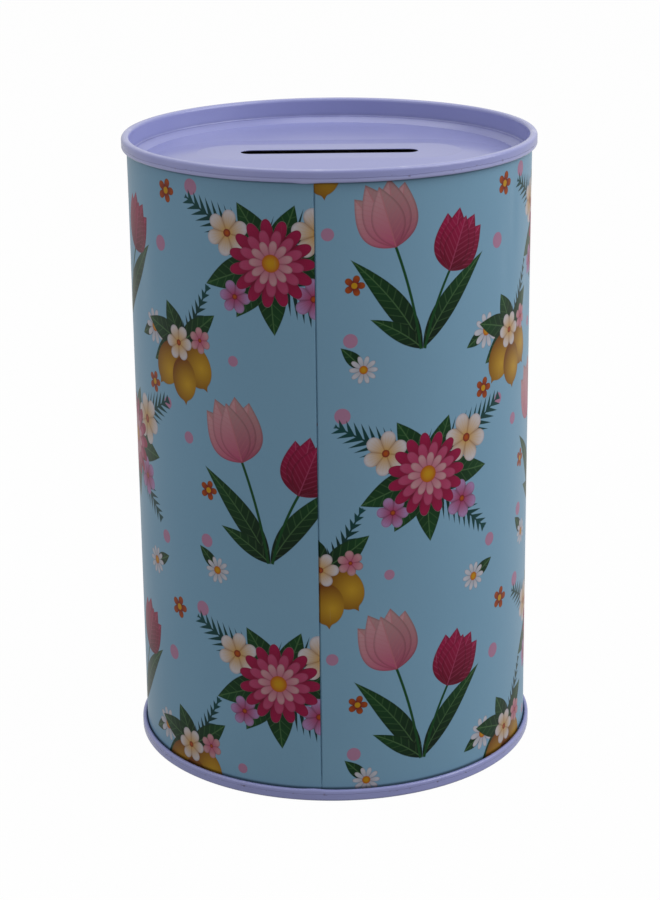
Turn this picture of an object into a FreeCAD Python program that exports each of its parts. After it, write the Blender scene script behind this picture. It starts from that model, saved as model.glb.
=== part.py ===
"""Round tin money box: a rolled tinplate body with a locked side seam, two pressed ends double-seamed
onto it, and a push-in stopper in the base.

Millimetres. The origin is the centre of the base on the surface that the tin stands on, +Z is up,
the coin slot runs along X and the side seam is at the front, towards -Y.
"""

import FreeCAD, Part
import math
import os

from FreeCAD import Vector

# Driving sizes of the body
height = 156.0
body_diameter = 99.0
plate = 0.28
side_seam_angle = -94.2
side_seam_width = 3.6
side_seam_layers = 3
groove_width = 0.5
groove_depth = 0.2
lap_clearance = 0.6

# Driving sizes of the double seams that join the ends to the body
seam_height = 3.0
seam_gap = 0.14
hook_gap = 0.2
compound_space = 0.45
compound_clearance = 0.02
hook_flat = 0.04
crest_flat = 0.3

# Driving sizes shared by both ends
ledge_depth = 4.7
ledge_width = 0.9
step_width = 1.9
panel_depth = 6.0
wall_bend_radius = 0.5
step_bend_radius = 0.5
panel_ring_width = 2.0

# Driving sizes of the coin slot and the raised field around it
slot_length = 43.4
slot_width = 5.2
field_length = 65.0
field_width = 19.5
field_height = 0.9
field_margin = 1.0

# Driving sizes of the coin outlet and its stopper
outlet_diameter = 42.0
stopper_clearance = 0.08
stopper_flange_width = 3.0
stopper_flange_thickness = 1.4
stopper_depth = 9.0
stopper_wall = 1.3
stopper_taper = 0.8
stopper_edge_radius = 0.4
pull_bar_width = 7.0
pull_bar_thickness = 2.4

# Radii through the double seam, from the seam's outside inwards, each at the middle of its layer
body_radius = body_diameter / 2
layer_step = plate + seam_gap
wall_radius = body_radius - plate / 2
cover_hook_radius = wall_radius + layer_step
body_hook_radius = cover_hook_radius + layer_step
seam_wall_radius = body_hook_radius + layer_step
chuck_radius = wall_radius - layer_step
crest_bend_radius = (seam_wall_radius - chuck_radius - crest_flat) / 2
hook_bend_radius = layer_step - hook_flat / 2

# Depths below the crest of a double seam, at the middle of the plate
crest_level = plate / 2
body_crest_level = plate + compound_space + plate / 2
body_hook_end = seam_height - plate - hook_gap
cover_hook_end = body_crest_level + plate / 2 + hook_gap
seam_foot_level = seam_height - plate / 2
seam_lap_height = ledge_depth + plate + lap_clearance

AXIS = Vector(0, 0, 1)
ORIGIN = Vector(0, 0, 0)
level_limit = 1e-6


def turn_left(v):
    """The direction v, turned a quarter turn to the left in its plane."""
    return (-v[1], v[0])


def unit(a, b):
    """The direction from point a to point b."""
    span = math.hypot(b[0] - a[0], b[1] - a[1])
    return ((b[0] - a[0]) / span, (b[1] - a[1]) / span)


def bend(corner, before, after, radius):
    """A bend of the middle line at a corner: its start, middle and end, each with its left normal."""
    d_in, d_out = unit(before, corner), unit(corner, after)
    turn = math.atan2(d_in[0] * d_out[1] - d_in[1] * d_out[0], d_in[0] * d_out[0] + d_in[1] * d_out[1])
    reach = radius * math.tan(abs(turn) / 2)
    start = (corner[0] - d_in[0] * reach, corner[1] - d_in[1] * reach)
    end = (corner[0] + d_out[0] * reach, corner[1] + d_out[1] * reach)
    side = math.copysign(1, turn)
    n_in, n_out = turn_left(d_in), turn_left(d_out)
    centre = (start[0] + side * radius * n_in[0], start[1] + side * radius * n_in[1])
    n_mid = unit((0, 0), (n_in[0] + n_out[0], n_in[1] + n_out[1]))
    middle = (centre[0] - side * radius * n_mid[0], centre[1] - side * radius * n_mid[1])
    return [(start, n_in), (middle, n_mid), (end, n_out)]


def strip_edges(points, radii, offset):
    """Edges along one side of a bent strip: its middle line, bent at each inner point, moved by offset."""

    def moved(point, normal):
        return upright(point[0] + offset * normal[0], point[1] + offset * normal[1])

    here = moved(points[0], turn_left(unit(points[0], points[1])))
    edges = []
    for i, radius in enumerate(radii, start=1):
        start, middle, end = (moved(*p) for p in bend(points[i], points[i - 1], points[i + 1], radius))
        edges.append(Part.makeLine(here, start))
        edges.append(Part.Arc(start, middle, end).toShape())
        here = end
    edges.append(Part.makeLine(here, moved(points[-1], turn_left(unit(points[-2], points[-1])))))
    return edges


def ends_of(edges):
    """The first and the last point of a chain of edges."""
    return edges[0].firstVertex().Point, edges[-1].lastVertex().Point


def closed_face(left, right):
    """The face between two chains of edges that run the same way, closed by a straight cut at each end."""
    (left_start, left_end), (right_start, right_end) = ends_of(left), ends_of(right)
    caps = [Part.makeLine(left_start, right_start), Part.makeLine(left_end, right_end)]
    return Part.Face(Part.Wire(Part.__sortEdges__(left + right + caps)))


def upright(r, z):
    """A point of a section in the plane of the axis."""
    return Vector(r, 0, z)


def revolved_strip(points, radii):
    """A ring of bent plate: the middle line through points, as (radius, height), turned about the axis."""
    left = strip_edges(points, radii, plate / 2)
    right = strip_edges(points, radii, -plate / 2)
    return closed_face(left, right).revolve(ORIGIN, AXIS, 360)


def stadium(length, width, z):
    """A slot-shaped outline along X with full-round ends."""
    half, r = (length - width) / 2, width / 2
    a, b = Vector(-half, -r, z), Vector(half, -r, z)
    c, d = Vector(half, r, z), Vector(-half, r, z)
    right_end = Part.Arc(b, Vector(half + r, 0, z), c).toShape()
    left_end = Part.Arc(d, Vector(-half - r, 0, z), a).toShape()
    return Part.Wire([Part.makeLine(a, b), right_end, Part.makeLine(c, d), left_end])


def flange_points(z_of):
    """The middle line of a body flange, from the wall into its hook. z_of turns a depth into a height."""
    return [
        (wall_radius, z_of(body_crest_level)),
        (body_hook_radius, z_of(body_crest_level)),
        (body_hook_radius, z_of(body_hook_end)),
    ]


def end_points(z_of):
    """The middle line of a pressed end, from its panel over the seam's crest and into the cover hook."""
    panel_level = panel_depth + plate / 2
    ledge_level = ledge_depth + plate / 2
    step_top = chuck_radius - ledge_width
    step_foot = step_top - step_width
    return [
        (step_foot - panel_ring_width, z_of(panel_level)),
        (step_foot, z_of(panel_level)),
        (step_top, z_of(ledge_level)),
        (chuck_radius, z_of(ledge_level)),
        (chuck_radius, z_of(crest_level)),
        (seam_wall_radius, z_of(crest_level)),
        (seam_wall_radius, z_of(seam_foot_level)),
        (cover_hook_radius, z_of(seam_foot_level)),
        (cover_hook_radius, z_of(cover_hook_end)),
    ]


END_BENDS = [
    step_bend_radius,
    step_bend_radius,
    wall_bend_radius,
    crest_bend_radius,
    crest_bend_radius,
    hook_bend_radius,
    hook_bend_radius,
]
panel_edge_radius = end_points(lambda depth: depth)[0][0]
field_slope = panel_edge_radius - field_margin - field_length / 2


def from_top(depth):
    return height - depth


def from_base(depth):
    return depth


def side_seam_point(along, r, z):
    """A point at arc length along from the side seam's line, at radius r."""
    angle = math.radians(side_seam_angle) + along / body_radius
    return Vector(r * math.cos(angle), r * math.sin(angle), z)


def side_seam_fold():
    """The layers that the hooked edges of the sheet add inside the wall, pressed flat between the laps."""
    low, high = from_base(seam_lap_height), from_top(seam_lap_height)
    inner = body_radius - plate - side_seam_layers * plate
    outside = [upright(wall_radius, low), upright(wall_radius, high)]
    corners = outside + [upright(inner, high), upright(inner, low)]
    section = Part.Face(Part.makePolygon(corners + corners[:1]))
    sweep = math.degrees(side_seam_width / body_radius)
    section.rotate(ORIGIN, AXIS, side_seam_angle - sweep)
    fold = section.revolve(ORIGIN, AXIS, sweep)
    bends = []
    for edge in fold.Edges:
        at = edge.CenterOfMass
        if edge.BoundBox.ZLength > height / 2 and math.hypot(at.x, at.y) < wall_radius - plate:
            bends.append(edge)
    return fold.makeFillet(plate, bends)


def side_seam_groove():
    """The narrow groove outside, where the sheet's outer edge turns in. It runs in under both seams."""
    low, high = from_base(seam_height / 2), from_top(seam_height / 2)
    rim = body_radius + groove_depth
    corners = [
        side_seam_point(-groove_width, rim, low),
        side_seam_point(0, body_radius - groove_depth, low),
        side_seam_point(groove_width, rim, low),
    ]
    return Part.Face(Part.makePolygon(corners + corners[:1])).extrude(AXIS * (high - low))


def body_shell():
    """The printed body: a rolled wall with a flange at each end that hooks into the double seam."""
    wall = flange_points(from_base)[::-1] + flange_points(from_top)
    tube = revolved_strip(wall, [hook_bend_radius] * (len(wall) - 2))
    return tube.fuse(side_seam_fold()).cut(side_seam_groove()).removeSplitter()


def pressed_disc(z, hole):
    """The flat middle of an end's panel, as far as the ring that carries it, with a hole cut through it."""
    return Part.makeCylinder(panel_edge_radius, plate, Vector(0, 0, z)).cut(hole)


def raised_field(z):
    """A disc whose upper side is the panel's: level at z, rising gently all round to the raised field."""
    disc = Part.makeCylinder(panel_edge_radius, 2 * plate, Vector(0, 0, z - 2 * plate))
    foot = stadium(field_length + 2 * field_slope, field_width + 2 * field_slope, z)
    top = stadium(field_length, field_width, z + field_height)
    return disc.fuse(Part.makeLoft([foot, top], True, True)).removeSplitter()


def slotted_top_end():
    """The top end: a pressed panel with a raised field and the coin slot, seamed over the body's flange."""
    ring = revolved_strip(end_points(from_top), END_BENDS)
    panel_top = from_top(panel_depth)
    field = raised_field(panel_top)
    sheet = field.cut(field.translated(Vector(0, 0, -plate)))
    slot_outline = Part.Face(stadium(slot_length, slot_width, panel_top - plate))
    slot = slot_outline.extrude(AXIS * (field_height + 2 * plate))
    return ring.fuse(sheet.cut(slot)).removeSplitter()


def base_end():
    """The base end: the same pressed profile as the top, with a round coin outlet in its panel."""
    ring = revolved_strip(end_points(from_base), END_BENDS)
    outlet = Part.makeCylinder(outlet_diameter / 2, 3 * plate, Vector(0, 0, panel_depth - plate))
    return ring.fuse(pressed_disc(panel_depth, outlet)).removeSplitter()


def seam_compound(z_of):
    """A ring of sealing compound, between the crest of the body flange and the crest of the end."""
    level = plate + compound_space / 2
    ring_radius = (wall_radius + body_hook_radius) / 2
    return Part.makeTorus(ring_radius, compound_space / 2 - compound_clearance, Vector(0, 0, z_of(level)))


def rim_edges(shape, z):
    """The edges of a turned shape that lie in the level plane z."""
    return [e for e in shape.Edges if max(abs(e.BoundBox.ZMin - z), abs(e.BoundBox.ZMax - z)) < level_limit]


def outlet_stopper():
    """The push-in stopper: a tapered cup with a flange that seats under the base, and a bar to pull."""
    neck = outlet_diameter / 2 - stopper_clearance
    tip = neck - stopper_taper
    foot = panel_depth - stopper_flange_thickness
    head = panel_depth + stopper_depth
    flange_radius = neck + stopper_flange_width
    flange = Part.makeCylinder(flange_radius, stopper_flange_thickness, Vector(0, 0, foot))
    flange = flange.makeFillet(stopper_edge_radius, rim_edges(flange, foot))
    plug = Part.makeCone(neck, tip, stopper_depth, Vector(0, 0, panel_depth))
    plug = plug.makeFillet(stopper_edge_radius, rim_edges(plug, head))
    hollow_depth = head - stopper_wall - foot
    hollow = Part.makeCone(neck - stopper_wall, tip - stopper_wall, hollow_depth, Vector(0, 0, foot))
    bar_corner = Vector(-neck, -pull_bar_width / 2, foot)
    bar = Part.makeBox(2 * neck, pull_bar_width, pull_bar_thickness, bar_corner)
    bar = bar.common(Part.makeCylinder(neck - stopper_wall / 2, pull_bar_thickness, Vector(0, 0, foot)))
    return flange.fuse(plug).cut(hollow).fuse(bar).removeSplitter()


def main():
    os.makedirs("parts", exist_ok=True)
    nodes = {
        "body_shell": body_shell(),
        "slotted_top_end": slotted_top_end(),
        "base_end": base_end(),
        "top_seam_compound": seam_compound(from_top),
        "base_seam_compound": seam_compound(from_base),
        "outlet_stopper": outlet_stopper(),
    }
    for name, shape in nodes.items():
        box = shape.BoundBox
        print(
            f"{name}: {len(shape.Solids)} solid, valid {shape.isValid()}, volume {shape.Volume:.1f} mm3, "
            f"{box.XLength:.2f} x {box.YLength:.2f} x {box.ZLength:.2f}"
        )
        shape.exportStep(f"parts/{name}.step")


main()
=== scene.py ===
"""Looks of the round tin money box: a printed body, two lavender ends and the stopper in the base.

Shapes are worked out in millimetres and stored in metres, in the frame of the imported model: the origin is
the centre of the base, +Z is up, the coin slot runs along X and the side seam is at the front, towards -Y.
"""

import math

import bmesh
import bpy
import numpy as np
from mathutils import Matrix, Vector


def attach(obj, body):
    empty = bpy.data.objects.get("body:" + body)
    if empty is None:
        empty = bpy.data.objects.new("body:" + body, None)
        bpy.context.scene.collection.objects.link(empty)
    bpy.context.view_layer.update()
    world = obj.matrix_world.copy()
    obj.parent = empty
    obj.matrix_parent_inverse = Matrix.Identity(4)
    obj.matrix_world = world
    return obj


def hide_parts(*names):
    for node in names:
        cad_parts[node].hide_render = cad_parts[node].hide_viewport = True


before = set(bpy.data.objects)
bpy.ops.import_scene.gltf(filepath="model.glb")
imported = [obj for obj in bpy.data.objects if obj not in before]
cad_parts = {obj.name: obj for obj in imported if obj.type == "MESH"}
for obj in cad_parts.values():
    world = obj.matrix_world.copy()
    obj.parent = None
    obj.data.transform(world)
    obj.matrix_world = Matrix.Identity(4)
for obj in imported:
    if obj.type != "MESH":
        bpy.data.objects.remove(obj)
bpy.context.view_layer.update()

# Sizes of the tin, in millimetres, as the solids have them
MM = 0.001
HEIGHT = 156.0
PLATE = 0.28
BODY_RADIUS = 49.5
LAYER_STEP = 0.42
WALL_RADIUS = BODY_RADIUS - PLATE / 2
CHUCK_RADIUS = WALL_RADIUS - LAYER_STEP
COVER_HOOK_RADIUS = WALL_RADIUS + LAYER_STEP
BODY_HOOK_RADIUS = WALL_RADIUS + 2 * LAYER_STEP
SEAM_RADIUS = WALL_RADIUS + 3 * LAYER_STEP
SEAM_HEIGHT = 3.0
BODY_CREST_DEPTH = 0.87
BODY_HOOK_DEPTH = 2.52
COVER_HOOK_DEPTH = 1.21
LEDGE_DEPTH = 4.7
PANEL_DEPTH = 6.0
STEP_TOP_RADIUS = CHUCK_RADIUS - 0.9
STEP_FOOT_RADIUS = STEP_TOP_RADIUS - 1.9
PANEL_RING_WIDTH = 2.0
SLOT_HALF_STRAIGHT = 19.1
SLOT_HALF_WIDTH = 2.6
FIELD_HALF_STRAIGHT = 22.75
FIELD_HALF_WIDTH = 9.75
FIELD_SLOPE = 10.64
FIELD_HEIGHT = 0.9
OUTLET_RADIUS = 21.0
SIDE_SEAM_ANGLE = math.radians(-94.2)
SIDE_SEAM_WIDTH = 3.6
GIRTH = 2 * math.pi * BODY_RADIUS
MERGE_DISTANCE = 0.0002

# Radii of the bends in the middle line of an end's plate, from the panel's step to the hook
END_BENDS = [0.5, 0.5, 0.5, 0.69, 0.69, 0.4, 0.4]

# The side seam: its groove outside, its fold inside and how the end seams hang over it, in millimetres
GROOVE_DEPTH = 0.2
GROOVE_MORE_OVER_FOLD = 0.25
GROOVE_HALF_WIDTH = 0.17
FOLD_HEIGHT = 0.93
FOLD_START = 5.6
HANG = 0.22
HANG_HALF_WIDTH = 2.4

# The stopper, in millimetres: levels and radii of the middle of its wall, its ribs and the bar across it
STOPPER_HALF_WALL = 0.65
STOPPER_TOP = 14.35
STOPPER_SEAT = 5.35
STOPPER_TOP_RADIUS = 19.47
STOPPER_MOUTH_RADIUS = 20.22
STOPPER_FLANGE_RADIUS = 23.92
RIBS_FROM = 7.0
RIBS_TO = 13.0
RIB_PITCH = 2.0
RIB_DEPTH = 0.12
BAR_REACH = 20.1
BAR_LEVEL = 5.85
BAR_HALF_HEIGHT = 1.15
BAR_HALF_WIDTH = 3.5
BAR_FLARE = 0.9
BAR_FLARE_START = 16.0

# Steps round the axis
END_STEPS = 400
BODY_STEPS = 300
STOPPER_STEPS = 160

# Shallow dents in the wall: angle in degrees, height, half width, half height and depth in millimetres
DENTS = (
    (-28, 140, 1.8, 11.0, 0.22),
    (-32, 130, 2.4, 9.0, 0.2),
    (-14, 118, 5.0, 12.0, 0.45),
    (-158, 128, 5.0, 10.0, 0.4),
    (-150, 52, 8.0, 14.0, 0.3),
    (60, 88, 9.0, 13.0, 0.4),
    (142, 120, 7.0, 9.0, 0.35),
)

# The camera that took the photograph, in millimetres and radians
CAMERA_PLACE = (0.0, -557.75, 254.09)
CAMERA_PITCH = math.radians(17.90)
CAMERA_YAW = math.radians(-0.068)
CAMERA_ROLL = math.radians(-0.641)
CAMERA_LENS = 91.82
CAMERA_SENSOR = 36.0


def ink(r, g, b):
    """A colour from its 8-bit screen values, made linear by the usual screen curve."""
    screen = np.array([r, g, b]) / 255
    linear = np.where(screen <= 0.04045, screen / 12.92, ((screen + 0.055) / 1.055) ** 2.4)
    return (*linear.tolist(), 1.0)


class Value:
    """A node's socket that works in Python arithmetic: each operation adds one Math node."""

    def __init__(self, nodes, socket):
        self.nodes = nodes
        self.socket = socket

    def math(self, operation, *others, **settings):
        """One Math node on this value and the others."""
        settings["operation"] = operation
        return self.nodes.node("ShaderNodeMath", settings, dict(enumerate((self, *others))))

    def __add__(self, other):
        return self.math("ADD", other)

    __radd__ = __add__

    def __sub__(self, other):
        return self.math("SUBTRACT", other)

    def __rsub__(self, other):
        return self.math("MULTIPLY_ADD", -1.0, other)

    def __mul__(self, other):
        return self.math("MULTIPLY", other)

    __rmul__ = __mul__

    def __truediv__(self, other):
        return self.math("DIVIDE", other)

    def __pow__(self, other):
        return self.math("POWER", other)

    def __abs__(self):
        return self.math("ABSOLUTE")

    def scaled(self, factor, shift):
        """factor times this value, plus shift, which may be another value."""
        return self.math("MULTIPLY_ADD", factor, shift)

    def clamped(self, factor, shift):
        """factor times this value plus shift, held between 0 and 1."""
        return self.math("MULTIPLY_ADD", factor, shift, use_clamp=True)

    def wrapped(self, half):
        """This value brought between minus half and half by whole steps of twice half."""
        return self.math("WRAP", half, -half)


class Nodes:
    """A tree of nodes, all of which come from one method."""

    def __init__(self, owner):
        owner.use_nodes = True
        self.tree = owner.node_tree

    def node(self, kind, settings, sockets, out=0):
        """Any node: its settings are set first, then each socket gets its number, colour or link."""
        made = self.tree.nodes.new(kind)
        for name, value in settings.items():
            setattr(made, name, value)
        self.fill(made, sockets)
        return Value(self, made.outputs[out])

    def fill(self, made, sockets):
        """Gives each named socket of a node its number, colour or link."""
        for name, value in sockets.items():
            if isinstance(value, Value):
                self.tree.links.new(value.socket, made.inputs[name])
            else:
                made.inputs[name].default_value = value


class Finish(Nodes):
    """A material with one Principled shader, on Object coordinates in millimetres."""

    def __init__(self, name, **sockets):
        self.material = bpy.data.materials.new(name)
        super().__init__(self.material)
        self.shader = self.tree.nodes["Principled BSDF"]
        self.set(**sockets)
        metres = self.node("ShaderNodeTexCoord", {}, {}, "Object")
        scale = {"operation": "SCALE"}
        self.place = self.node("ShaderNodeVectorMath", scale, {0: metres, "Scale": 1 / MM})
        split = ("ShaderNodeSeparateXYZ", {}, {0: self.place})
        self.x, self.y, self.z = (self.node(*split, axis) for axis in "XYZ")

    def set(self, **sockets):
        """Sets sockets of the shader, named with _ for a space."""
        self.fill(self.shader, {name.replace("_", " "): value for name, value in sockets.items()})

    def mix(self, factor, a, b):
        """Colour a where factor is 0 and colour b where it is 1."""
        return self.node("ShaderNodeMix", {"data_type": "RGBA"}, {0: factor, 6: a, 7: b}, 2)

    def darken(self, factor, colour, by):
        """A colour multiplied by another as far as factor says."""
        settings = {"data_type": "RGBA", "blend_type": "MULTIPLY"}
        return self.node("ShaderNodeMix", settings, {0: factor, 6: colour, 7: by}, 2)

    def noise(self, size, detail=2.0, stretch=(1, 1, 1)):
        """Soft noise from 0 to 1 with features of about this size in millimetres, drawn out by stretch."""
        scale = [1 / (size * s) for s in stretch]
        at = self.node("ShaderNodeMapping", {}, {"Vector": self.place, "Scale": scale})
        return self.node("ShaderNodeTexNoise", {}, {"Vector": at, "Scale": 1.0, "Detail": detail}, "Fac")

    def bump(self, height, millimetres):
        """A normal from a height, where 1 stands for this many millimetres."""
        sockets = {"Height": height, "Strength": 1.0, "Distance": millimetres * MM}
        return self.node("ShaderNodeBump", {}, sockets)

    def radius(self):
        """Distance from the axis of the tin."""
        return (self.x * self.x + self.y * self.y) ** 0.5


def edge(distance, soft=0.1):
    """1 where a distance is below 0 and 0 above, with an edge this soft."""
    return distance.clamped(-1 / soft, 0.5)


def turned(x, y, cx, cy, degrees):
    """The point (x, y) seen from (cx, cy), along and across a line at this angle."""
    c, s = math.cos(math.radians(degrees)), math.sin(math.radians(degrees))
    along = x.scaled(c, y.scaled(s, -cx * c - cy * s))
    across = y.scaled(c, x.scaled(-s, cx * s - cy * c))
    return along, across


# Meshes


def bent_line(points, radii, run_step, arc_steps=6):
    """The middle line of a bent plate: straight runs between points, and an arc at each inner point.

    Gives the samples and their left normals. Each run has a sample close to both its ends, so that smooth
    shading keeps the run flat.
    """
    run_end = 0.06
    p = [np.array(q, float) for q in points]
    steps = [q - o for o, q in zip(p[:-1], p[1:])]
    ways = [d / np.hypot(*d) for d in steps]
    lefts = [np.array([-w[1], w[0]]) for w in ways]
    starts, ends, arcs = [p[0]], [], []
    for corner, d0, d1, n0, radius in zip(p[1:-1], ways[:-1], ways[1:], lefts[:-1], radii):
        turn = math.atan2(d0[0] * d1[1] - d0[1] * d1[0], d0 @ d1)
        reach = radius * math.tan(abs(turn) / 2)
        side = math.copysign(1, turn)
        first = corner - d0 * reach
        centre = first + side * radius * n0
        swing = turn * np.linspace(0, 1, arc_steps + 1)[1:-1]
        c, s = np.cos(swing)[:, None], np.sin(swing)[:, None]
        normals = n0 * c + np.array([-n0[1], n0[0]]) * s
        arcs.append((centre - side * radius * normals, normals))
        ends.append(first)
        starts.append(corner + d1 * reach)
    ends.append(p[-1])
    samples, normals = [], []
    for i, (a, b) in enumerate(zip(starts, ends)):
        length = np.hypot(*(b - a))
        count = max(1, round(length / run_step))
        near = min(run_end / length, 0.2)
        t = np.unique(np.r_[0, near, np.linspace(0, 1, count + 1), 1 - near, 1])[:, None]
        samples.append(a + (b - a) * t)
        normals.append(np.repeat(lefts[i][None], len(t), 0))
        if i < len(arcs):
            samples.append(arcs[i][0])
            normals.append(arcs[i][1])
    return np.concatenate(samples), np.concatenate(normals)


def plate_section(line, normal, half, cap_steps=4):
    """The closed section of a plate: its left side, a round edge, its right side back, and a round edge.

    Gives the section, and 1 on the left side, -1 on the right side and 0 on the edges.
    """
    swing = np.linspace(0, math.pi, cap_steps + 1)[1:-1, None]
    way_in, way_out = (np.array([n[1], -n[0]]) for n in (normal[0], normal[-1]))
    far_cap = line[-1] + half * (normal[-1] * np.cos(swing) + way_out * np.sin(swing))
    near_cap = line[0] + half * (-normal[0] * np.cos(swing) - way_in * np.sin(swing))
    left, right = line + half * normal, (line - half * normal)[::-1]
    section = np.concatenate([left, far_cap, right, near_cap])
    on_side, on_edge = np.ones(len(line)), np.zeros(cap_steps - 1)
    return section, np.r_[on_side, on_edge, -on_side, on_edge]


def slot_outline(share, half_straight, r):
    """Points at a share of the way round slot outlines: two straights joined by half circles of radius r.

    With no straight this is a circle. share runs along the last axis, and the outlines along the first.
    """
    a, r = half_straight[:, None], r[:, None]
    quarter = math.pi * r / 2
    way = share[None] * (4 * quarter + 4 * a)
    top = np.clip(way - quarter, 0, 2 * a)
    bottom = np.clip(way - 3 * quarter - 2 * a, 0, 2 * a)
    swing = np.clip(way, 0, quarter) + np.clip(way - quarter - 2 * a, 0, 2 * quarter)
    swing = (swing + np.clip(way - 3 * quarter - 4 * a, 0, quarter)) / np.maximum(r, 1e-9)
    return a - top + bottom + r * np.cos(swing), r * np.sin(swing)


def round_shares(step_count, extra=()):
    """Shares of a turn at even steps, with extra ones added, sorted from 0 to 1."""
    return np.unique(np.r_[np.arange(step_count) / step_count, np.mod(extra, 1)].round(9))


def end_shares():
    """Shares of a turn for an end: even steps, and closer ones where its foot hangs over the side seam."""
    close = np.linspace(-7, 7, 15) / BODY_RADIUS
    return round_shares(END_STEPS, (SIDE_SEAM_ANGLE + close) / (2 * math.pi))


def seam_distance(x, y):
    """Arc length on the body from the side seam's line, counted to the right as the front is seen."""
    turn = np.arctan2(y, x) - SIDE_SEAM_ANGLE
    return (np.mod(turn + math.pi, 2 * math.pi) - math.pi) * BODY_RADIUS


def grid_faces(rows, columns, closed=True):
    """Quads of a grid whose rows are rings. If closed, its last row joins the first."""
    r, c = np.meshgrid(np.arange(rows if closed else rows - 1), np.arange(columns), indexing="ij")
    here, above = r * columns, (r + 1) % rows * columns
    c1 = (c + 1) % columns
    return np.stack([here + c, here + c1, above + c1, above + c], -1).reshape(-1, 4)


def make_piece(name, node, body, slot, points, faces, materials, face_material):
    """A smooth mesh of quads whose faces point outwards, in place of a node of the solids.

    The sum of the faces' signed volumes shows which way they point, and they are turned if it is below 0.
    Points that fall together are merged, which closes a pole.
    """
    points = points.reshape(-1, 3) * MM
    a, b, c, d = (points[faces[:, i]] for i in range(4))
    volume = (np.cross(a, b) * c).sum() + (np.cross(a, c) * d).sum()
    if volume < 0:
        faces = faces[:, ::-1]
    mesh = bpy.data.meshes.new(name)
    mesh.from_pydata(points.tolist(), [], faces.tolist())
    mesh.polygons.foreach_set("material_index", face_material.astype(np.int32))
    mesh.polygons.foreach_set("use_smooth", np.ones(len(faces), bool))
    for finish in materials:
        mesh.materials.append(finish.material)
    shell = bmesh.new()
    shell.from_mesh(mesh)
    bmesh.ops.remove_doubles(shell, verts=shell.verts, dist=MERGE_DISTANCE * MM)
    shell.to_mesh(mesh)
    shell.free()
    piece = bpy.data.objects.new(name, mesh)
    bpy.context.scene.collection.objects.link(piece)
    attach(piece, body)
    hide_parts(node)
    return piece


def ring_piece(name, node, slot, section, half_straight, side, shares, shift, materials):
    """A section carried round the axis along slot outlines or circles, with a small shift of its points."""
    x, y = slot_outline(shares, half_straight, section[:, 0])
    z = np.repeat(section[:, 1:2], len(shares), 1)
    points = np.stack([x, y, z], -1)
    points = points + shift(points, side[:, None])
    inner = (side + np.roll(side, -1)) < 0
    face_material = np.repeat(inner, len(shares))
    faces = grid_faces(len(section), len(shares))
    return make_piece(name, node, "tin", slot, points, faces, materials, face_material)


def end_line(z_of, start):
    """The middle line of an end, from start out over the seam and into its hook."""
    return start + [
        (STEP_FOOT_RADIUS, z_of(PANEL_DEPTH + PLATE / 2)),
        (STEP_TOP_RADIUS, z_of(LEDGE_DEPTH + PLATE / 2)),
        (CHUCK_RADIUS, z_of(LEDGE_DEPTH + PLATE / 2)),
        (CHUCK_RADIUS, z_of(PLATE / 2)),
        (SEAM_RADIUS, z_of(PLATE / 2)),
        (SEAM_RADIUS, z_of(SEAM_HEIGHT - PLATE / 2)),
        (COVER_HOOK_RADIUS, z_of(SEAM_HEIGHT - PLATE / 2)),
        (COVER_HOOK_RADIUS, z_of(COVER_HOOK_DEPTH)),
    ]


def from_top(depth):
    """The height of a point this deep below the top."""
    return HEIGHT - depth


def from_base(depth):
    """The height of a point this deep inside the base, which is the depth itself."""
    return depth


def end_shift(z_of):
    """How a seamed end differs from a perfect ring: its foot hangs lower over the side seam's extra layers.

    The hang falls off as a bell curve along the seam and grows down the seam's outside.
    """
    down = z_of(1.0) - z_of(0.0)

    def shift(points, side):
        x, y, z = np.moveaxis(points, -1, 0)
        r = np.hypot(x, y)
        bell = np.exp(-((seam_distance(x, y) + SIDE_SEAM_WIDTH / 2) / HANG_HALF_WIDTH) ** 2)
        depth = np.clip((z - z_of(0.0)) * down / SEAM_HEIGHT, 0, 1)
        hang = HANG * bell * depth**2 * (r > COVER_HOOK_RADIUS - 0.2)
        return np.stack([0 * x, 0 * y, hang * down], -1)

    return shift


def make_top_end(materials):
    """The top end: outlines from the slot's to the raised field's to circles, along the end's section."""
    field_level = from_top(PANEL_DEPTH - FIELD_HEIGHT + PLATE / 2)
    slot_edge = SLOT_HALF_WIDTH + PLATE / 2
    field_foot = FIELD_HALF_WIDTH + FIELD_SLOPE
    panel_edge = STEP_FOOT_RADIUS - PANEL_RING_WIDTH
    start = [
        (slot_edge, field_level),
        (FIELD_HALF_WIDTH, field_level),
        (field_foot, from_top(PANEL_DEPTH + PLATE / 2)),
    ]
    line, normal = bent_line(end_line(from_top, start), [2.0, 2.0, *END_BENDS], 1.6)
    section, side = plate_section(line, normal, PLATE / 2)
    widths = [slot_edge, FIELD_HALF_WIDTH, field_foot, panel_edge]
    straights = [SLOT_HALF_STRAIGHT, FIELD_HALF_STRAIGHT, FIELD_HALF_STRAIGHT, 0.0]
    half_straight = np.interp(section[:, 0], widths, straights)
    args = (section, half_straight, side, end_shares(), end_shift(from_top), materials)
    return ring_piece("top_end", "slotted_top_end", "end_enamel", *args)


def make_base_end(materials):
    """The base end: a ring from the outlet's edge out over the base seam."""
    start = [(OUTLET_RADIUS + PLATE / 2, from_base(PANEL_DEPTH + PLATE / 2))]
    line, normal = bent_line(end_line(from_base, start), END_BENDS, 3.0)
    section, side = plate_section(line, -normal, PLATE / 2)
    args = (section, 0 * side, side, end_shares(), end_shift(from_base), materials)
    return ring_piece("base_end_ring", "base_end", "end_enamel", *args)


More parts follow.
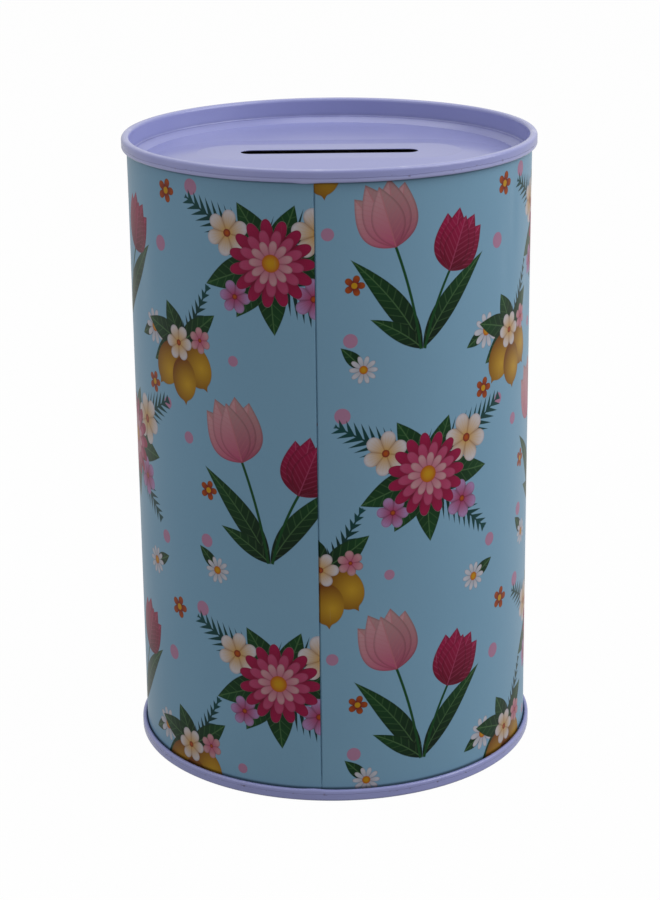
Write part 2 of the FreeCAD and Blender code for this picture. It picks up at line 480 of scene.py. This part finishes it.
def body_shift(points, side):
    """How the rolled sheet differs from a perfect tube.

    Outside, a narrow groove at the side seam: full depth at the line, falling off to both sides as a bell
    curve. Inside, the fold stands in as a strip as wide as the seam. The sheet is also a little uneven, as
    slow waves round and along it, always inwards, with a few shallow dents, each a bell curve both ways.
    """
    x, y, z = np.moveaxis(points, -1, 0)
    r = np.hypot(x, y)
    s = seam_distance(x, y)
    turn = np.arctan2(y, x)
    depth = np.minimum(z, HEIGHT - z)
    on_wall = np.clip((depth - SEAM_HEIGHT) / 0.3, 0, 1)
    backed = np.clip((depth - FOLD_START) / 0.3, 0, 1)
    groove_depth = GROOVE_DEPTH + GROOVE_MORE_OVER_FOLD * backed
    groove = groove_depth * np.exp(-(((s - 0.1) / GROOVE_HALF_WIDTH) ** 2)) * (side > 0)
    fold_edges = np.clip((s + SIDE_SEAM_WIDTH + 0.4) / 0.35, 0, 1) * np.clip((0.6 - s) / 0.35, 0, 1)
    fold = FOLD_HEIGHT * fold_edges * (side < 0) * backed
    waves = np.sin(3 * turn + z / 31 + 0.6) * np.sin(z / 47 + 1.1) + np.sin(7 * turn - z / 19)
    uneven = 0.03 * (2 + waves) * np.clip((depth - 4) / 12, 0, 1)
    for degrees, height, half_width, half_height, dent in DENTS:
        off = (turn - math.radians(degrees) + math.pi) % (2 * math.pi) - math.pi
        round_it = off * BODY_RADIUS / half_width
        along_it = (z - height) / half_height
        uneven = uneven + dent * np.exp(-(round_it**2) - along_it**2)
    move = -(groove * on_wall + fold + uneven) / np.maximum(r, 1e-9)
    return np.stack([x * move, y * move, 0 * z], -1)


def make_body(materials):
    """The printed body: the section of its wall and both flanges, carried round the axis."""
    points = [
        (BODY_HOOK_RADIUS, BODY_HOOK_DEPTH),
        (BODY_HOOK_RADIUS, BODY_CREST_DEPTH),
        (WALL_RADIUS, BODY_CREST_DEPTH),
        (WALL_RADIUS, HEIGHT - BODY_CREST_DEPTH),
        (BODY_HOOK_RADIUS, HEIGHT - BODY_CREST_DEPTH),
        (BODY_HOOK_RADIUS, HEIGHT - BODY_HOOK_DEPTH),
    ]
    line, normal = bent_line(points, [0.4] * 4, 2.4, 4)
    section, side = plate_section(line, -normal, PLATE / 2, 2)
    near_seam = np.r_[np.linspace(-0.6, 0.8, 29), np.linspace(-4.4, -3.2, 9), -0.9, 1.2]
    shares = round_shares(BODY_STEPS, (SIDE_SEAM_ANGLE + near_seam / BODY_RADIUS) / (2 * math.pi))
    args = (section, 0 * side, side, shares, body_shift, materials)
    return ring_piece("body_wall", "body_shell", "printed_tin", *args)


def make_stopper(finish):
    """The stopper: a cup with a flange, as a bent plate turned about the axis, and a bar carried across it.

    The cup's wall has low ribs, a cosine along its height. The bar's section is a rounded rectangle, which
    widens towards both ends, and closes to a point inside the wall.
    """
    points = [
        (0.0, STOPPER_TOP),
        (STOPPER_TOP_RADIUS, STOPPER_TOP),
        (STOPPER_MOUTH_RADIUS, STOPPER_SEAT),
        (STOPPER_FLANGE_RADIUS - STOPPER_HALF_WALL, STOPPER_SEAT),
    ]
    cap_steps = 6
    line, normal = bent_line(points, [1.05, 0.75], 0.5)
    section, side = plate_section(line, normal, STOPPER_HALF_WALL, cap_steps)
    r, z = section[: 1 - cap_steps].T
    outside = side[: 1 - cap_steps] > 0
    on_wall = np.clip((z - RIBS_FROM) / 0.5, 0, 1) * np.clip((RIBS_TO - z) / 0.5, 0, 1) * outside
    rib = RIB_DEPTH / 2 * (1 - np.cos(z * 2 * math.pi / RIB_PITCH))
    r = (np.maximum(r, 0) - on_wall * rib)[:, None]
    turns = np.arange(STOPPER_STEPS) / STOPPER_STEPS * 2 * math.pi
    cup = np.stack([r * np.cos(turns), r * np.sin(turns), z[:, None] + 0 * turns], -1)

    to_wall = np.linspace(BAR_FLARE_START, 20, 9)
    inner = np.r_[-to_wall[::-1], np.linspace(-14, 14, 9), to_wall]
    stations = np.r_[-BAR_REACH, -BAR_REACH, inner, BAR_REACH, BAR_REACH][:, None]
    open_here = np.ones_like(stations)
    open_here[[0, -1]] = 0
    q = np.linspace(0, 2 * math.pi, 49)[:-1]
    c, s = np.cos(q), np.sin(q)
    square = (np.abs(c) ** 5 + np.abs(s) ** 5) ** (-1 / 5)
    flare = BAR_FLARE * np.clip((np.abs(stations) - BAR_FLARE_START) / 4, 0, 1) ** 2
    bar_y = open_here * (BAR_HALF_WIDTH + flare) * (c * square)
    bar_z = BAR_LEVEL + open_here * BAR_HALF_HEIGHT * (s * square)
    bar = np.stack([stations + 0 * bar_y, bar_y, bar_z], -1)

    cup_faces = grid_faces(*cup.shape[:2], closed=False)
    bar_faces = grid_faces(*bar.shape[:2], closed=False) + cup[..., 0].size
    all_points = np.concatenate([cup.reshape(-1, 3), bar.reshape(-1, 3)])
    faces = np.concatenate([cup_faces, bar_faces])
    one_finish = np.zeros(len(faces))
    args = (all_points, faces, [finish], one_finish)
    return make_piece("stopper", "outlet_stopper", "stopper", "stopper_plastic", *args)


# Finishes


def lavender_enamel():
    """Satin lavender enamel: fine orange peel, a roll mark round each seam, rubbed crests and chips.
    Painted light as well: a painted highlight along the crests and below the top seam's roll mark, and
    painted shade in the ledge's corner.
    """
    seam_face = 50.2
    wear_and_highlight_tone = ink(190, 192, 220)
    f = Finish("lavender_enamel", Coat_Weight=0.08, Coat_Roughness=0.2, IOR=1.45)
    cloud = f.noise(26, 3)
    grain = f.noise(0.6, 2)
    patchy = f.noise(7, 4)
    r = f.radius()
    depth = HEIGHT / 2 - abs(f.z - HEIGHT / 2)
    band = edge(seam_face - r, 0.2)
    colour = f.mix(cloud, ink(133, 137, 186), ink(141, 145, 193))
    # Painted shade in the corner where the chuck wall meets the ledge, in patches.
    corner = edge(LEDGE_DEPTH - 0.5 - depth, 1.2) * edge(47.6 - r, 1.2) * edge(r - 49.4, 0.4)
    colour = f.darken(corner * f.noise(5, 3) * 0.5, colour, ink(150, 150, 176))
    # The crests are lighter: rubbed wear in patches, over an even painted highlight along every crest.
    rub_and_highlight = edge(depth - 0.25, 0.3) * patchy.clamped(6, -3.4).scaled(0.4, 0.25)
    colour = f.mix(rub_and_highlight, colour, wear_and_highlight_tone)
    rolled = depth + patchy.scaled(-0.5, -1.7)
    mark = edge(abs(rolled) - 0.05, 0.12) * band
    # Painted highlight: a lighter strip below the roll mark, on the top seam only.
    foot = edge(0.15 - rolled, 0.2) * band * edge(HEIGHT / 2 - f.z, 1.0)
    colour = f.darken(mark * 0.45, colour, ink(120, 116, 140))
    colour = f.mix(foot * 0.16, colour, wear_and_highlight_tone)
    chip = edge(abs(rolled) - 0.25, 0.25) * band * f.noise(1.6, 3).clamped(14, -8.6)
    colour = f.mix(chip, colour, ink(84, 76, 100))
    rough = cloud.scaled(0.08, grain.scaled(0.05, 0.17)) + chip * 0.2 - rub_and_highlight * 0.04
    ripple = (f.z * 4.2).math("SINE") * f.noise(3, 2) * band
    height = grain * 0.4 + f.noise(3.2, 2) * 0.6 + ripple * 0.5 - mark * 1.2 - chip * 1.2
    f.set(Base_Color=colour, Roughness=rough, Normal=f.bump(height, 0.035))
    return f


def lacquered_tin():
    """The unprinted inside: clear-lacquered tin with faint rolling lines and cloudy crystals."""
    f = Finish("lacquered_tin", Metallic=0.85, Coat_Weight=0.3, Coat_Roughness=0.2)
    cloud = f.noise(9, 3)
    lines = f.noise(0.5, 2, (1, 1, 40))
    colour = f.mix(cloud, ink(150, 146, 134), ink(172, 168, 156))
    rough = cloud.scaled(0.15, lines.scaled(0.1, 0.3))
    f.set(Base_Color=colour, Roughness=rough, Normal=f.bump(lines, 0.01))
    return f


def stopper_plastic():
    """Milky moulded plastic: slightly clouded, with a fine matt texture and faint rings from the mould."""
    f = Finish("stopper_plastic", IOR=1.5)
    cloud = f.noise(8, 3)
    rings = (f.radius() * 2.4).math("SINE")
    colour = f.mix(cloud, ink(205, 205, 200), ink(222, 222, 218))
    height = f.noise(0.5, 2) + rings * 0.3
    f.set(Base_Color=colour, Roughness=cloud.scaled(0.15, 0.38), Normal=f.bump(height, 0.02))
    return f


def sealing_compound():
    """Cured compound: dark, dull and a little lumpy."""
    f = Finish("sealing_compound")
    lumps = f.noise(0.8, 3)
    colour = f.mix(lumps, ink(48, 46, 44), ink(66, 64, 60))
    f.set(Base_Color=colour, Roughness=lumps.scaled(0.2, 0.6), Normal=f.bump(lumps, 0.05))
    return f


# The printed sheet

REPEAT_WIDTH = GIRTH / 5.68
REPEAT_HEIGHT = 104.0
DEEP_GREEN = ink(0, 18, 6)
LEAF_GREEN = ink(12, 58, 22)
PALE_GREEN = ink(72, 104, 64)
BLUE_GREEN = ink(10, 58, 58)
HOT_PINK = ink(134, 16, 60)
ROSE = ink(152, 62, 94)
SALMON = ink(158, 94, 100)
BLUSH = ink(168, 130, 134)
CREAM = ink(176, 174, 182)
LILAC = ink(146, 120, 162)
YELLOW = ink(168, 124, 14)
ORANGE = ink(150, 70, 14)
CRIMSON = ink(88, 2, 28)
DOT_PINK = ink(150, 108, 134)
FOLIAGE = (DEEP_GREEN, LEAF_GREEN, PALE_GREEN)


class Print:
    """Ink laid on the body sheet, shape after shape: u runs round from the side seam, v is the height."""

    def __init__(self, finish):
        f = self.finish = finish
        c, s = math.cos(SIDE_SEAM_ANGLE), math.sin(SIDE_SEAM_ANGLE)
        ahead = f.x.scaled(-c, f.y * -s)
        aside = f.y.scaled(-c, f.x * s)
        self.u = aside.math("ARCTAN2", ahead).scaled(BODY_RADIUS, GIRTH / 2)
        self.v = f.z
        self.begin()

    def begin(self):
        """Starts a group of shapes, which cover each other in the order they are laid."""
        self.art = self.cover = None

    def lay(self, mask, colour):
        """Lays a colour over the group where mask is 1, and adds the mask to what the group covers."""
        if self.art is None:
            self.art, self.cover = colour, mask
            return
        self.art = self.finish.mix(mask, self.art, colour)
        self.cover = self.cover.math("MAXIMUM", mask)

    def repeat(self, u0, v0, size=1.0):
        """A point seen from the nearest place of a half-drop repeat, each column half a repeat lower.

        Shapes drawn from it come out this many times as large.
        """
        across = self.u.scaled(1 / REPEAT_WIDTH, 0.5 - u0 / REPEAT_WIDTH)
        column = across.math("FLOOR")
        du = (across - column).scaled(REPEAT_WIDTH / size, -REPEAT_WIDTH / size / 2)
        dv = column.scaled(REPEAT_HEIGHT / 2, self.v - v0).wrapped(REPEAT_HEIGHT / 2)
        return du, dv / size

    def leaf(self, at, place, degrees, length, half_width, inks, bow=0.0, ribs=2.2):
        """A leaf or petal: as wide as a parabola that ends at both tips, bowed sideways, with veins.

        Its inks are those of its foot, its tip and its veins.
        """
        f = self.finish
        along, across = turned(*at, *place, degrees)
        if bow:
            across = (along * along).scaled(-bow / length**2, across)
        t = along / length
        taper = t.scaled(-2.2 * half_width, 5.1 * half_width).math("MAXIMUM", 0.5)
        width = t * (1 - t) * taper
        off = abs(across)
        foot, tip, vein = inks
        colour = f.mix(t, foot, tip)
        colour = f.darken(edge(across, 0.5) * 0.35, colour, ink(170, 190, 170))
        veins = edge(abs(along.scaled(1.0, off * -0.9).wrapped(ribs / 2)) - 0.1, 0.3)
        lines = veins.math("MAXIMUM", edge(off - 0.12, 0.2) * 1.6)
        colour = f.mix(lines * 0.4, colour, vein)
        margin = edge(width - off - 0.35, 0.5)
        colour = f.darken(margin * 0.35, colour, ink(120, 130, 120))
        self.lay(edge(off - width, 0.16), colour)

    def sprig(self, at, place, degrees, length, reach, colour, tip, pitch=2.6):
        """A stem with slanting leaflets on both sides, which get shorter towards the tip."""
        f = self.finish
        along, across = turned(*at, *place, degrees)
        off = abs(across)
        room = along.scaled(-0.75 * reach / length, reach)
        blade = abs(along.scaled(1.0, off * -1.1).wrapped(pitch / 2))
        thick = (off / room).scaled(-0.42 * pitch, 0.42 * pitch)
        leaflets = edge(blade - thick, 0.2)
        stem = edge(off - 0.22, 0.15)
        inside = edge(abs(along - length / 2) - length / 2, 0.3) * edge(off - room, 0.2)
        self.lay(leaflets.math("MAXIMUM", stem) * inside, f.mix(along / length, colour, tip))

    def polar(self, at, place):
        """Distance from a place, and the angle round it."""
        dx, dy = at[0] - place[0], at[1] - place[1]
        return (dx * dx + dy * dy) ** 0.5, dy.math("ARCTAN2", dx)

    def rosette(self, polar, petals, size, heart, rim, notch=0.35, turn=0.0):
        """A ring of petals: its radius falls from the middle of each petal to the notch between two."""
        f = self.finish
        far, angle = polar
        off = abs((angle + turn).wrapped(math.pi / petals)) * (petals / math.pi)
        outline = (off**2.2).scaled(-notch * size, size)
        reach = (far / size).math("MINIMUM", 1.0)
        colour = f.mix(reach, heart, rim)
        streaks = edge(abs(off.wrapped(0.19)) - 0.03, 0.12)
        colour = f.mix(streaks * reach.scaled(-0.45, 0.5), colour, heart)
        colour = f.darken((off**5) * 0.6, colour, heart)
        margin = edge(outline - far - 0.3, 0.4)
        colour = f.darken(margin * 0.3, colour, ink(150, 120, 130))
        self.lay(edge(far - outline, 0.16), colour)

    def heart(self, polar, size, colour, shade):
        """The round middle of a flower, darker towards its edge."""
        far, _ = polar
        self.lay(edge(far - size, 0.16), self.finish.mix((far / size) ** 2.0, colour, shade))

    def daisy(self, at, place, size, petals=10):
        """A white flower with many narrow petals."""
        polar = self.polar(at, place)
        self.rosette(polar, petals, size, ink(136, 140, 150), CREAM, 0.5)
        self.heart(polar, size * 0.3, YELLOW, ORANGE)

    def anemone(self, at, place, size, glow, rim, turn=0.0):
        """A flower with six broad petals, which glow towards its middle."""
        polar = self.polar(at, place)
        self.rosette(polar, 6, size, glow, rim, 0.34, turn)
        self.heart(polar, size * 0.17, ORANGE, CRIMSON)

    def dot(self, at, size):
        """A round spot."""
        dx, dy = at
        self.lay(edge((dx * dx + dy * dy) ** 0.5 - size, 0.16), DOT_PINK)

    def stem(self, at, place, degrees, length, bow, colour, half_width=0.32):
        """A curved stem: a line bent as a parabola."""
        along, across = turned(*at, *place, degrees)
        off = abs((along * along).scaled(-bow / length**2, across))
        self.lay(edge(off - half_width, 0.16) * edge(abs(along - length / 2) - length / 2, 0.2), colour)

    def tulip(self, at, place, degrees, size, inks):
        """A cup of petals from its foot up: two pairs leaning apart and one in front."""
        for lean, share in ((24, 0.92), (-24, 0.92), (10, 1.0), (-10, 0.98), (0, 0.9)):
            half_width = size * (0.27 if lean else 0.24)
            self.leaf(at, place, degrees + lean, size * share, half_width, inks, ribs=1.4)

    def lemon(self, at, place, degrees, size):
        """A fruit: an ellipse with a small tip, shaded round towards one side."""
        f = self.finish
        along, across = turned(*at, *place, degrees)
        oval = ((along * along) * 0.6 + across * across) ** 0.5
        tip = abs(across).scaled(2.2, abs(along) - size * 1.55)
        lit = ((along - size * 0.3) ** 2.0 + (across - size * 0.3) ** 2.0) ** 0.5
        colour = f.mix((lit / (size * 1.5)).math("MINIMUM", 1.0), ink(166, 128, 30), ink(98, 52, 4))
        self.lay(edge((oval - size).math("SMOOTH_MIN", tip, 1.2), 0.16), colour)


def draw_dots(p):
    """Scattered dots."""
    low = ((8, 12, 1.7), (49, 31, 1.9), (3, 37, 1.5), (47, 61, 1.7))
    high = ((6, 98, 1.9), (50, 96, 1.5), (17, 58, 1.3))
    for u0, v0, size in low + high:
        p.dot(p.repeat(u0, v0), size)


def draw_small_flowers(p):
    """Loose daisies and small orange flowers, each on a leaf."""
    for u0, v0, size, degrees in ((45, 10, 4.4, 200), (41, 53, 3.6, 20), (11, 5, 3.4, 130)):
        at = p.repeat(u0, v0)
        p.leaf(at, (0, 0), degrees, 7.5, 1.6, FOLIAGE, 0.6)
        p.daisy(at, (0, 0), size)
    for u0, v0, size in ((52, 44, 2.9), (9, 25, 2.5), (44, 100, 2.7)):
        spot = p.polar(p.repeat(u0, v0), (0, 0))
        p.rosette(spot, 5, size, CRIMSON, ORANGE, 0.55)
        p.heart(spot, size * 0.28, YELLOW, YELLOW)


def draw_fruit(p):
    """Three lemons under leaves, with blossom."""
    at = p.repeat(1, 57, 1.06)
    p.sprig(at, (2, 4), 62, 15, 3.6, DEEP_GREEN, BLUE_GREEN, 2.0)
    for degrees, length in ((160, 13), (32, 13), (112, 10), (205, 12)):
        p.leaf(at, (0, 3), degrees, length, 2.7, FOLIAGE, 1.0)
    p.lemon(at, (4.8, -1.6), 300, 4.2)
    p.lemon(at, (-4.4, -2.6), 235, 4.4)
    p.lemon(at, (0.8, -5.4), 275, 3.9)
    p.anemone(at, (-0.6, 2.8), 4.2, YELLOW, CREAM)
    p.anemone(at, (6.2, 4.4), 3.0, ROSE, BLUSH, 0.4)


def draw_tulip_leaves(p):
    """Long leaves and curved stems."""
    at = p.repeat(25, 30, 1.06)
    blades = ((116, 26, 2.7, 5.5), (62, 25, 2.6, -5.5), (136, 14, 2.0, 3.0))
    for degrees, length, half_width, bow in blades:
        p.leaf(at, (0.5, -20), degrees, length, half_width, FOLIAGE, bow)
    p.stem(at, (0, -20), 98, 24, 2.6, LEAF_GREEN)
    p.stem(at, (1, -20), 78, 18, -2.8, LEAF_GREEN)


def draw_tulips(p):
    """Two tulips."""
    at = p.repeat(25, 30, 1.06)
    p.tulip(at, (-5.8, 3.2), 106, 15.5, (ROSE, BLUSH, SALMON))
    p.tulip(at, (7.2, -3.4), 68, 14, (CRIMSON, HOT_PINK, ROSE))


def draw_bloom_leaves(p):
    """A bed of leaves and ferns."""
    at = p.repeat(27, 82, 1.06)
    ferns = (((3, 3), 30, 22, 8.0), ((-3, 3), 152, 21, 7.4), ((2, -3), 318, 20, 6.6))
    for place, degrees, length, reach in ferns:
        p.sprig(at, place, degrees, length, reach, DEEP_GREEN, BLUE_GREEN, 2.1)
    leaves_below = ((196, 17, 3.6), (232, 15, 3.4), (268, 16, 3.4), (352, 17, 3.5))
    leaves_above = ((62, 14, 3.2), (116, 15, 3.3))
    for degrees, length, half_width in leaves_below + leaves_above:
        p.leaf(at, (0, 0), degrees, length, half_width, FOLIAGE, 1.2)


def draw_bloom(p):
    """A large pink bloom among paler flowers."""
    at = p.repeat(27, 82, 1.06)
    p.anemone(at, (10.6, 6.6), 6.0, YELLOW, CREAM, 0.2)
    p.anemone(at, (-10.2, 6.0), 5.2, YELLOW, CREAM, 0.7)
    p.anemone(at, (9.4, -7.6), 4.6, HOT_PINK, LILAC, 0.4)
    p.anemone(at, (-8.6, -8.0), 3.8, HOT_PINK, LILAC, 0.1)
    head = p.polar(at, (0, 0))
    p.rosette(head, 15, 9.8, CRIMSON, HOT_PINK, 0.3)
    p.rosette(head, 13, 7.4, HOT_PINK, ROSE, 0.32, 0.12)
    p.rosette(head, 11, 5.0, ROSE, BLUSH, 0.34, 0.3)
    p.heart(head, 2.0, YELLOW, ORANGE)


PRINT_GROUPS = (
    draw_dots,
    draw_small_flowers,
    draw_fruit,
    draw_tulip_leaves,
    draw_tulips,
    draw_bloom_leaves,
    draw_bloom,
)


def printed_tin():
    """The body's print under varnish: garden flowers, fruit and dots on light blue, in a half-drop repeat.

    Each group of shapes has a shader of its own, mixed in where the group covers what is under it.
    """
    rubbed = ink(150, 172, 186)
    f = Finish("printed_tin")
    cloud = f.noise(30, 3)
    grain = f.noise(0.5, 2)
    scratch = f.noise(0.35, 2, (1, 1, 30)).clamped(10, -7.2) * f.noise(14, 2).clamped(3, -1.2)
    varnish = {"Coat Weight": 0.08, "Coat Roughness": 0.14, "IOR": 1.36, "Specular IOR Level": 0.15}
    varnish["Roughness"] = cloud.scaled(0.08, grain.scaled(0.05, 0.3)) + scratch * 0.2
    varnish["Normal"] = f.bump(grain * 0.3 + f.noise(4, 2) * 0.7, 0.03)
    depth = HEIGHT / 2 - abs(f.z - HEIGHT / 2)
    # Painted shade: a dark line on the wall just past each seam, with some grime.
    seam_shade_and_grime = edge(depth - SEAM_HEIGHT - 0.35, 0.5)

    def worn_and_shaded(colour):
        """A colour with fine grain, painted shade with some grime along the seams, and pale scratches."""
        colour = f.darken(grain * 0.1, colour, ink(200, 205, 210))
        colour = f.darken(seam_shade_and_grime * 0.75, colour, ink(96, 92, 100))
        return f.mix(scratch * 0.25, colour, rubbed)

    p = Print(f)
    ground = f.mix(cloud, ink(107, 143, 167), ink(113, 149, 172))
    handled = edge(abs(p.u - GIRTH + 5) - 4, 5) * edge(abs(p.v - 136) - 8, 8)
    scuff = f.noise(3.5, 4, (1, 1, 1.8)).clamped(6, -3.1) * handled
    ground = f.mix(scuff * 0.3, ground, rubbed)
    f.fill(f.shader, {**varnish, "Base Color": worn_and_shaded(ground)})
    surface = Value(f, f.shader.outputs[0])
    for draw in PRINT_GROUPS:
        p.begin()
        draw(p)
        inked = f.node("ShaderNodeBsdfPrincipled", {}, {**varnish, "Base Color": worn_and_shaded(p.art)})
        surface = f.node("ShaderNodeMixShader", {}, {0: 1 - p.cover, 1: inked, 2: surface})
    f.fill(f.tree.nodes["Material Output"], {"Surface": surface})
    return f


# Staging


def soft_light(name, place, aim, size, watts):
    """A square soft lamp at a place, turned to face aim, both in millimetres."""
    lamp = bpy.data.lights.new(name, "AREA")
    lamp.shape = "SQUARE"
    lamp.size = size
    lamp.energy = watts
    made = bpy.data.objects.new(name, lamp)
    bpy.context.scene.collection.objects.link(made)
    made.location = Vector(place) * MM
    made.rotation_mode = "QUATERNION"
    made.rotation_quaternion = (Vector(aim) - Vector(place)).to_track_quat("-Z", "Y")


def by_ray(nodes, plain, seen, mirrored):
    """The greatest of: plain for any ray, seen for the camera's, mirrored for gloss and glass."""
    total = plain
    levels = {"Is Camera Ray": seen, "Is Glossy Ray": mirrored, "Is Transmission Ray": mirrored}
    for ray, level in levels.items():
        is_ray = nodes.node("ShaderNodeLightPath", {}, {}, ray)
        total = (is_ray * level).math("MAXIMUM", total)
    return total


def make_world(level, mirrored):
    """A white surround: full strength where it is seen, dimmer where it is mirrored or gives light."""
    world = bpy.data.worlds.new("surround")
    bpy.context.scene.world = world
    nodes = Nodes(world)
    strength = by_ray(nodes, level, 1.0, mirrored)
    nodes.fill(nodes.tree.nodes["Background"], {"Color": (1, 1, 1, 1), "Strength": strength})


def make_floor(share, mirrored):
    """A pale floor that keeps the shadow: diffuse, with this share of plain white where it is seen.

    From below it is clear, and a round hole inside the base seam lets light to the underside.
    """
    material = bpy.data.materials.new("floor")
    nodes = Nodes(material)
    nodes.tree.nodes.remove(nodes.tree.nodes["Principled BSDF"])
    matt = nodes.node("ShaderNodeBsdfDiffuse", {}, {"Color": (0.42, 0.42, 0.42, 1)})
    white = nodes.node("ShaderNodeEmission", {}, {})
    lit = by_ray(nodes, 0.0, share, mirrored)
    seen = nodes.node("ShaderNodeMixShader", {}, {0: lit, 1: matt, 2: white})
    clear = nodes.node("ShaderNodeBsdfTransparent", {}, {})
    below = nodes.node("ShaderNodeNewGeometry", {}, {}, "Backfacing")
    surface = nodes.node("ShaderNodeMixShader", {}, {0: below, 1: seen, 2: clear})
    nodes.fill(nodes.tree.nodes["Material Output"], {"Surface": surface})
    hole, reach, steps = BODY_RADIUS * MM, 6.0, 96
    turns = np.arange(steps) / steps * 2 * math.pi
    rim = np.stack([np.cos(turns), np.sin(turns), 0 * turns], -1)
    mesh = bpy.data.meshes.new("floor")
    mesh.from_pydata([*(rim * reach), *(rim * hole)], [], grid_faces(2, steps, closed=False).tolist())
    mesh.materials.append(material)
    floor = bpy.data.objects.new("floor", mesh)
    bpy.context.scene.collection.objects.link(floor)


def make_camera():
    """The photograph's camera: its view direction from pitch and yaw, then rolled about it."""
    p, w, roll = CAMERA_PITCH, CAMERA_YAW, CAMERA_ROLL
    forward = Vector((math.sin(w) * math.cos(p), math.cos(w) * math.cos(p), -math.sin(p)))
    right = Vector((math.cos(w), -math.sin(w), 0))
    up = right.cross(forward)
    x_axis = math.cos(roll) * right + math.sin(roll) * up
    y_axis = -math.sin(roll) * right + math.cos(roll) * up
    data = bpy.data.cameras.new("camera")
    data.sensor_fit = "AUTO"
    data.sensor_width = CAMERA_SENSOR
    data.lens = CAMERA_LENS
    camera = bpy.data.objects.new("camera", data)
    bpy.context.scene.collection.objects.link(camera)
    turn = Matrix((x_axis, y_axis, -forward)).transposed()
    camera.matrix_world = Matrix.Translation(Vector(CAMERA_PLACE) * MM) @ turn.to_4x4()
    bpy.context.scene.camera = camera


enamel = lavender_enamel()
tin_inside = lacquered_tin()
make_body([printed_tin(), tin_inside])
make_top_end([enamel, tin_inside])
make_base_end([enamel, tin_inside])
make_stopper(stopper_plastic())
compound = sealing_compound().material
for ring in ("top_seam_compound", "base_seam_compound"):
    ring_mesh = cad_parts[ring].data
    ring_mesh.materials.clear()
    ring_mesh.materials.append(compound)

make_camera()
make_world(0.45, 0.7)
make_floor(0.985, 0.55)
soft_light("key", (720, -120, 690), (0, 0, 110), 0.8, 6.9)
soft_light("fill", (-620, -240, 360), (0, 0, 90), 0.9, 1.3)
soft_light("top", (-220, 140, 950), (0, 0, 150), 0.65, 2.2)
bpy.context.scene.view_settings.view_transform = "Standard"
